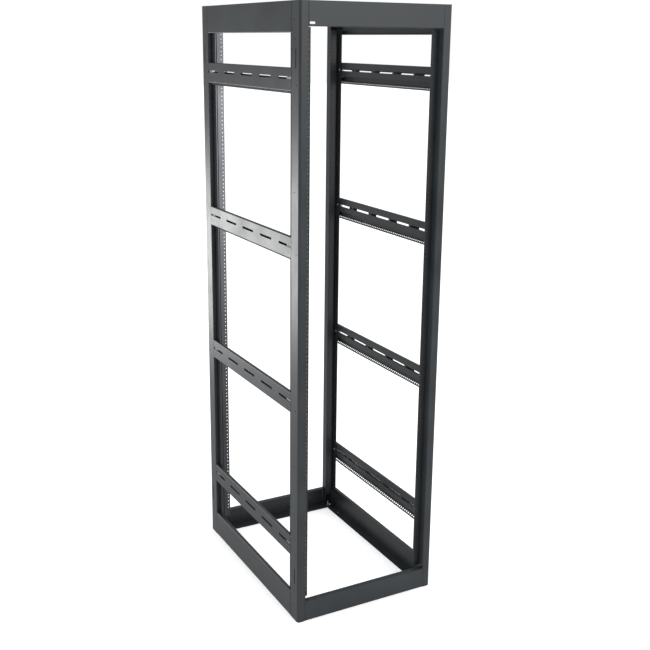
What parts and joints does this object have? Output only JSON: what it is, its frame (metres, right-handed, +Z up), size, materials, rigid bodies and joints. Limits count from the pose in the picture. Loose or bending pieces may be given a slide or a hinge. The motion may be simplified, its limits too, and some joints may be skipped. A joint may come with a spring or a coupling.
{
  "type": "open frame server rack",
  "caption": "Tall open steel equipment rack: four bevelled corner posts, channel rails, slotted side braces and adjustable pierced rack rails.",
  "frame": {"origin": "middle of the rectangular footprint, on the floor", "axes": "+Z up, front of the rack faces -Y, left side of the rack faces -X"},
  "size_m": [0.5588, 0.8002, 2.1114],
  "materials": {
    "frame_coat": "semi-gloss black powder coat with a fine orange-peel texture",
    "rack_rail_coat": "satin black powder coat",
    "zinc_plate": "bright zinc plate"
  },
  "bodies": {
    "frame": {"base_front_left_corner_plate": "frame_coat", "base_front_rail": "frame_coat", "base_front_right_corner_plate": "frame_coat", "base_left_rail": "frame_coat", "base_rear_left_corner_plate": "frame_coat", "base_rear_rail": "frame_coat", "base_rear_right_corner_plate": "frame_coat", "base_right_rail": "frame_coat", "front_left_post": "frame_coat", "front_right_post": "frame_coat", "ground_nut": "zinc_plate", "ground_stud": "zinc_plate", "left_brace_1": "frame_coat", "left_brace_2": "frame_coat", "left_brace_3": "frame_coat", "left_brace_4": "frame_coat", "rear_left_post": "frame_coat", "rear_right_post": "frame_coat", "right_brace_1": "frame_coat", "right_brace_2": "frame_coat", "right_brace_3": "frame_coat", "right_brace_4": "frame_coat", "top_front_left_corner_plate": "frame_coat", "top_front_rail": "frame_coat", "top_front_right_corner_plate": "frame_coat", "top_left_rail": "frame_coat", "top_rear_left_corner_plate": "frame_coat", "top_rear_rail": "frame_coat", "top_rear_right_corner_plate": "frame_coat", "top_right_rail": "frame_coat"},
    "front_left_rack_rail": {"front_left_channel_nuts": "zinc_plate", "front_left_rack_rail": "rack_rail_coat", "front_left_rail_bolts": "zinc_plate"},
    "front_right_rack_rail": {"front_right_channel_nuts": "zinc_plate", "front_right_rack_rail": "rack_rail_coat", "front_right_rail_bolts": "zinc_plate"},
    "rear_left_rack_rail": {"rear_left_channel_nuts": "zinc_plate", "rear_left_rack_rail": "rack_rail_coat", "rear_left_rail_bolts": "zinc_plate"},
    "rear_right_rack_rail": {"rear_right_channel_nuts": "zinc_plate", "rear_right_rack_rail": "rack_rail_coat", "rear_right_rail_bolts": "zinc_plate"}
  },
  "joints": [
    {"name": "front_left_rack_rail_slide", "type": "slide", "parent": "frame", "child": "front_left_rack_rail", "axis": [0, 1, 0], "range_m": [0, 0.1]},
    {"name": "front_right_rack_rail_slide", "type": "slide", "parent": "frame", "child": "front_right_rack_rail", "axis": [0, 1, 0], "range_m": [0, 0.1]},
    {"name": "rear_left_rack_rail_slide", "type": "slide", "parent": "frame", "child": "rear_left_rack_rail", "axis": [0, 1, 0], "range_m": [-0.1, 0]},
    {"name": "rear_right_rack_rail_slide", "type": "slide", "parent": "frame", "child": "rear_right_rack_rail", "axis": [0, 1, 0], "range_m": [-0.1, 0]}
  ]
}
